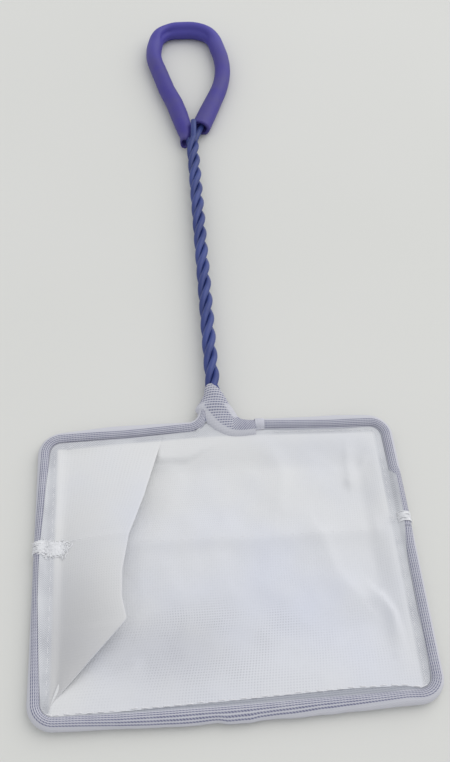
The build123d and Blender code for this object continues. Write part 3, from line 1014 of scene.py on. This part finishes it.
# Each row: x and y of the left edge, x and y of the right edge, middle height, half thickness
COLLAR = [
    (-4.1, 80.1, 3.4, 78.9, STEM_Z, 3.8),
    (-4.5, 77.2, 4.7, 76.8, 5.3, 3.9),
    (-6.5, 73.6, 6.1, 73.8, 4.7, 3.7),
    (-8.6, 70.4, 7.5, 71.2, 4.3, 3.7),
    (-6.0, 66.9, 8.9, 69.0, 3.7, 3.1),
    (-3.4, 63.4, 9.7, 67.2, 3.4, 2.85),
    (0.4, 59.6, 10.5, 66.2, 3.15, 2.75),
    (5.0, 56.8, 11.8, 65.2, 3.0, 2.7),
    (10.3, 56.0, 14.0, 64.6, 2.95, 2.75),
    (17.3, 56.6, 17.5, 64.2, 2.9, 2.75),
]
COLLAR_STEPS = 9
COLLAR_SIDES = 72
COLLAR_STRETCH = 0.68
COLLAR_WALL = 0.12
COLLAR_LIP = (0.0, 0.25, 0.0)
YARN_WAY = (1.0, 0.8, 0.0)
DIAGONAL_X = 7.5
DIAGONAL_SLOPE = 1.1
DIAGONAL_RUN = 2.0
PEAK_ANGLE = 105.0
PEAK_HALF = 40.0
PEAK_RISE = 1.6
RUFFLE = Ripple(rise=0.025, size=2.0, seed=12.0)
RUFFLE_ALONG = 4.0
RUFFLE_ROUND = 5.0

# The wrap's bare edges, as shares of its width, and the rows that show them
LOW_EDGE = 0.30
LOW_EDGE_ROW = 2.2
LOW_EDGE_RUN = 0.5
HIGH_EDGE = 0.76
HIGH_EDGE_ROWS = Span(start=2.6, end=6.4, run_in=0.5, run_out=0.6)
EDGE_FADE = 0.06
END_ROW = 5.5
END_RUN = 1.0
COLLAR_STRIPES = 0.95
END_STRIPES = 0.3
BARE_STRIPES = 0.9


def bare_edge(share, at):
    """1 on the wrap's bare edges, at a share of its width and at a row."""
    low = fade(share, LOW_EDGE, EDGE_FADE) * ramp(at, LOW_EDGE_ROW, LOW_EDGE_RUN)
    high = ramp(share, HIGH_EDGE, EDGE_FADE) * window(at, HIGH_EDGE_ROWS)
    return max(low, high)


def make_collar():
    rows = curve(COLLAR, COLLAR_STEPS)
    points = []
    across = []
    striped = []
    for k, (left_x, left_y, right_x, right_y, z, high) in enumerate(rows):
        at = k / COLLAR_STEPS
        middle = np.array([(left_x + right_x) / 2, HOOP_Y + (left_y + right_y) / 2, z])
        half = np.array([(right_x - left_x) / 2, (right_y - left_y) / 2, 0])
        for side in range(COLLAR_SIDES):
            a = math.tau * side / COLLAR_SIDES
            ruffle = 1 + wander(RUFFLE_ALONG * at, RUFFLE_ROUND * math.sin(a), RUFFLE)
            place = middle + half * (ruffle * math.cos(a)) + UP * (high * ruffle * math.sin(a))
            place[1] += PEAK_RISE * hump(math.degrees(a), PEAK_ANGLE, PEAK_HALF) * smooth(1 - at)
            stripe = -place[1] + DIAGONAL_SLOPE * max(0.0, place[0] - DIAGONAL_X)
            bare = bare_edge((math.cos(a) + 1) / 2, at)
            rib = RIB_RISE * math.cos(math.tau * stripe * COLLAR_STRETCH / TAPE_PITCH) * (1 - bare)
            points.append(place + UP * (rib * math.sin(a)))
            across.append(stripe * COLLAR_STRETCH)
            at_end = ramp(place[0], DIAGONAL_X, DIAGONAL_RUN) * ramp(at, END_ROW, END_RUN)
            striped.append((COLLAR_STRIPES + END_STRIPES * at_end) * (1 - BARE_STRIPES * bare))
    points = np.array(points)
    points[:, 2] = np.maximum(points[:, 2], TABLE_CLEAR)
    inner = points[:COLLAR_SIDES]
    inner = inner + (inner.mean(axis=0) - inner) * COLLAR_WALL - COLLAR_LIP
    points = np.vstack([inner, points])
    rings = len(rows) + 1
    obj = add_mesh("collar_tape", points, closed_faces(rings, COLLAR_SIDES), tape_material)
    add_values(obj, "across", across[:COLLAR_SIDES] + across)
    add_values(obj, "along", points @ YARN_WAY)
    add_values(obj, "striped", striped[:COLLAR_SIDES] + striped)
    add_values(obj, "leaf", np.zeros(rings * COLLAR_SIDES))
    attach(obj, "frame")
    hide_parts("collar_wrap")


make_collar()


# Bar tacks: thread wound over the joints of the tape

TACK_LOW_ANGLE = 234
TACK_HIGH_ANGLE = 100
TACK_RADIUS = 0.17
TACK_POINTS = 9
TACK_SIDES = 6
TACK_LEAN = 2.0
HAIR_INWARD = (-2.5, 5.0)
HAIR_SEAT = 0.75
HAIR_RISE = (0.1, 0.5)
HAIR_LENGTH = (1.0, 2.2)
HAIR_BEND = 0.5
HAIR_ARCH = 0.3
HAIR_RADII = [0.11, 0.09, 0.05]
HAIR_SIDES = 5


def tack_loop(place, inward, reach, lean, lift):
    """A loop of thread from under the outer side, over the tape, in to the leaf's edge."""
    line = []
    round_it = RIM_RADIUS + TACK_RADIUS + lift
    for angle in np.linspace(TACK_LOW_ANGLE, TACK_HIGH_ANGLE, TACK_POINTS):
        a = math.radians(angle)
        line.append(place + inward * (math.cos(a) * round_it) + UP * (math.sin(a) * round_it))
    for depth in np.linspace(0.0, reach, TACK_POINTS):
        top = over_tape(depth) - HOOP_Z + TACK_RADIUS / 2 + lift
        line.append(place + inward * depth + UP * top)
    shift = np.linspace(-lean, lean, len(line))[:, None]
    line = np.array(line) + shift * np.cross(inward, UP)
    line[:, 2] = np.maximum(line[:, 2], TACK_RADIUS)
    return tube(line, TACK_RADIUS, TACK_SIDES)


def tack_hair(place, inward, spread):
    """A loose end of thread that stands a little off the tack."""
    start = place + inward * draw.uniform(*HAIR_INWARD)
    start = start + np.cross(inward, UP) * draw.uniform(-spread, spread)
    start[2] = HOOP_Z + RIM_RADIUS * HAIR_SEAT
    way = np.array([draw.uniform(-1, 1), draw.uniform(-1, 1), draw.uniform(*HAIR_RISE)])
    way = way / np.linalg.norm(way) * draw.uniform(*HAIR_LENGTH)
    bend = [draw.uniform(-HAIR_BEND, HAIR_BEND), draw.uniform(-HAIR_BEND, HAIR_BEND), HAIR_ARCH]
    middle = start + (way + bend) / 2
    return tube([start, middle, start + way], HAIR_RADII, HAIR_SIDES)


def make_tack(name, node, material, middle, inward, reach, half, count, loose, hairs):
    """A bundle of loops about a middle, as wide as twice half, with loose hairs."""
    inward = np.array(inward, float)
    beside = np.cross(inward, UP)
    bundle = []
    for k in range(count):
        off = half * (2 * k / (count - 1) - 1)
        place = middle + beside * (off + draw.uniform(-loose, loose))
        lean = draw.uniform(-TACK_LEAN, TACK_LEAN) * loose
        bundle.append(tack_loop(place, inward, reach, lean, draw.uniform(0, 1) * loose))
    bundle.extend(tack_hair(middle, inward, half) for _ in range(hairs))
    obj = add_tubes(name, bundle, material)
    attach(obj, "frame")
    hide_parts(node)


make_tack(
    "tack_left", "bar_tack_left", tack_material,
    middle=flat_point(-SIDE_X, 8.8), inward=(1, 0, 0),
    reach=5.5, half=2.4, count=24, loose=0.3, hairs=40,
)
make_tack(
    "tack_right", "bar_tack_right", tack_material,
    middle=flat_point(SIDE_X, 12.5), inward=(-1, 0, 0),
    reach=2.8, half=2.0, count=20, loose=0.2, hairs=20,
)
make_tack(
    "tack_collar", "bar_tack_collar", collar_thread,
    middle=back_point(19.4), inward=(0, -1, 0),
    reach=3.2, half=1.8, count=13, loose=0.04, hairs=0,
)


# Frayed thread on the left tack and on the flap beside it

FUZZ_HAIRS = 420
FUZZ_MIDDLE = (-69.5, 8.2)
FUZZ_HALF = (7.0, 3.4)
FUZZ_CURL = 1.2
FUZZ_REACH = (0.5, 0.9)
FUZZ_LIFT = 0.25
FUZZ_SEAT = 0.12
FUZZ_END = 0.05
FUZZ_RADII = [0.17, 0.2, 0.19, 0.12]


def fuzz_hair():
    """A short curl of frayed thread."""
    x = FUZZ_MIDDLE[0] + FUZZ_HALF[0] * draw.triangular(-1, 1)
    y = FUZZ_MIDDLE[1] + FUZZ_HALF[1] * draw.triangular(-1, 1)
    turn = draw.uniform(0, math.tau)
    curl = draw.uniform(-FUZZ_CURL, FUZZ_CURL)
    reach = draw.uniform(*FUZZ_REACH)
    lift = draw.uniform(0.0, FUZZ_LIFT)
    line = []
    for up in (0.0, lift, lift, FUZZ_END):
        line.append((x, HOOP_Y + y, flap_height(x, y) + FUZZ_SEAT + up))
        x += reach * math.cos(turn)
        y += reach * math.sin(turn)
        turn += curl
    return tube(line, FUZZ_RADII, HAIR_SIDES)


tail_hairs = [fuzz_hair() for _ in range(FUZZ_HAIRS)]
follow_bag(add_tubes("tack_left_tail", tail_hairs, tack_material))


# The grip: a soft tube over the wire loop, kinked along its top bar and squashed at its left end

GRIP_POINTS = [
    (-4.7, 101.5),
    (-4.4, 107.0),
    (-20.22, 181.05),
    (-14.2, 203.2),
    (16.6, 203.2),
    (24.16, 161.05),
    (5.3, 112.6),
]
GRIP_BENDS = [20.0, 46.0, 13.9, 16.7, 73.0]
GRIP_SIDES = 40
GRIP_STEP = 1.2
LEFT_LEG_Y = [101.5, 106, 113, 124, 135, 147, 165, 178]
LEFT_WIDE = [2.4, 3.6, 4.6, 5.0, 5.0, 4.8, 4.7, GRIP_RADIUS]
LEFT_HIGH = [3.6, 4.0, 4.4] + 5 * [GRIP_RADIUS]
LEFT_SHIFT = [0.4, 1.4, 1.7, 1.9, 1.8, 0.6, 0.4, 0.0]
RIGHT_LEG_Y = [112.6, 124, 138, 150]
RIGHT_WIDE = [5.3, 5.3, 4.9, GRIP_RADIUS]
BAR_FROM = 188.0
BAR_RUN = 10.0
BAR_WIDE = 4.3
BAR_HIGH = 5.4
BAR_DENT = 0.22
DENT_ANGLE = 35.0
DENT_HALF = 22.0
KINK_X = -10.0
KINK_HALF = 4.0
KINK_DENT = 0.12
KINK_PINCH = 0.06
LIT_TOP_FROM = 162.0
LIT_TOP_RUN = 38.0
LIT_TOP_MOST = 0.85
BORE_SHARE = 0.66
BORE_DEPTH = 4.0


def grip_size(x, y, bar):
    """Half the tube's width in the loop's plane, half its height, and its shift into the loop."""
    wide = np.interp(y, RIGHT_LEG_Y, RIGHT_WIDE)
    high = GRIP_RADIUS
    shift = 0.0
    if x < 0:
        wide = np.interp(y, LEFT_LEG_Y, LEFT_WIDE)
        high = np.interp(y, LEFT_LEG_Y, LEFT_HIGH)
        shift = np.interp(y, LEFT_LEG_Y, LEFT_SHIFT)
    return wide + (BAR_WIDE - wide) * bar, high + (BAR_HIGH - high) * bar, shift


def grip_ring(p, out, share):
    bar = ramp(p[1], BAR_FROM, BAR_RUN)
    wide, high, shift = grip_size(p[0], p[1], bar)
    kink = hump(p[0], KINK_X, KINK_HALF) * bar
    ring = []
    for k in range(GRIP_SIDES):
        a = math.tau * k / GRIP_SIDES
        dent = hump(math.degrees(a), DENT_ANGLE, DENT_HALF) * (BAR_DENT * bar + KINK_DENT * kink)
        size = share * (1 - dent - KINK_PINCH * kink)
        rise = high - LOOP_Z + high * size * math.sin(a)
        ring.append(p + out * (shift + wide * size * math.cos(a)) + UP * rise)
    return ring


def make_grip():
    flat = [(x, y, LOOP_Z) for x, y in GRIP_POINTS]
    line = rounded(flat, GRIP_BENDS, GRIP_STEP)
    ahead = directions(line)
    out = np.cross(ahead, UP)
    inside = int(BORE_DEPTH / GRIP_STEP)
    rings = [grip_ring(line[k], out[k], BORE_SHARE) for k in (inside, 0)]
    rings.extend(grip_ring(p, n, 1.0) for p, n in zip(line, out))
    rings.extend(grip_ring(line[k], out[k], BORE_SHARE) for k in (-1, -1 - inside))
    points = np.array(rings).reshape(-1, 3)
    obj = add_mesh("grip", points, closed_faces(len(rings), GRIP_SIDES), tube_skin)
    # Painted light along the grip's top bar, fading in from the legs
    add_values(obj, "lit_top", LIT_TOP_MOST * ramp(points[:, 1], LIT_TOP_FROM, LIT_TOP_RUN))
    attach(obj, "frame")
    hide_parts("grip_tube")


make_grip()


# The wire's cores and coatings, which keep the CAD part's shapes

for ending, material in (("_core", core_metal), ("_coating", coating)):
    for node_name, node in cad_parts.items():
        if node_name.endswith(ending):
            node.data.materials.clear()
            node.data.materials.append(material)


# Table, light and camera, in metres

TABLE_HALF = 4.0
KEY_PLACE = (2.0, 1.45, 2.3)
KEY_AIM = (0.0, -0.05, 0.0)
KEY_SIZE = 4.3
KEY_POWER = 56.0
KEY_COLOUR = (1.0, 0.985, 0.96)
SKY_COLOUR = (0.97, 0.98, 1.0, 1)
SKY_STRENGTH = 0.75
CAMERA_PLACE = (-0.01777, -0.29336, 0.34247)
CAMERA_PITCH = 55.40
CAMERA_YAW = 5.81
CAMERA_ROLL = 1.73
PHOTO_FOCAL = 900
PHOTO_HEIGHT = 762
SENSOR = 36.0
CLIP_START = 0.01


def add_stage():
    mesh = bpy.data.meshes.new("table")
    corners = [(TABLE_HALF * x, TABLE_HALF * y, 0) for x, y in ((-1, -1), (1, -1), (1, 1), (-1, 1))]
    mesh.from_pydata(corners, [], [(0, 1, 2, 3)])
    mesh.materials.append(table_top())
    table = bpy.data.objects.new("table", mesh)
    bpy.context.scene.collection.objects.link(table)


def add_light():
    data = bpy.data.lights.new("key", "AREA")
    data.shape = "DISK"
    data.size = KEY_SIZE
    data.energy = KEY_POWER
    data.color = KEY_COLOUR
    light = bpy.data.objects.new("key", data)
    light.location = KEY_PLACE
    light.rotation_euler = (Vector(KEY_AIM) - Vector(KEY_PLACE)).to_track_quat("-Z", "Y").to_euler()
    bpy.context.scene.collection.objects.link(light)


def add_world():
    world = bpy.data.worlds.new("studio")
    world.use_nodes = True
    background = world.node_tree.nodes["Background"]
    background.inputs["Color"].default_value = SKY_COLOUR
    background.inputs["Strength"].default_value = SKY_STRENGTH
    bpy.context.scene.world = world


def add_camera():
    pitch = math.radians(CAMERA_PITCH)
    yaw = math.radians(CAMERA_YAW)
    roll = math.radians(CAMERA_ROLL)
    level_way = Vector((math.sin(yaw), math.cos(yaw), 0)) * math.cos(pitch)
    ahead = level_way - Vector((0, 0, math.sin(pitch)))
    level = ahead.cross(Vector((0, 0, 1))).normalized()
    right = level * math.cos(roll) + level.cross(ahead) * math.sin(roll)
    turned = Matrix((right, right.cross(ahead), -ahead)).transposed()
    data = bpy.data.cameras.new("camera")
    data.sensor_width = SENSOR
    data.lens = PHOTO_FOCAL / PHOTO_HEIGHT * SENSOR
    data.clip_start = CLIP_START
    camera = bpy.data.objects.new("camera", data)
    camera.matrix_world = Matrix.Translation(CAMERA_PLACE) @ turned.to_4x4()
    bpy.context.scene.collection.objects.link(camera)
    bpy.context.scene.camera = camera


add_stage()
add_light()
add_world()
bpy.context.scene.view_settings.view_transform = "Standard"
add_camera()
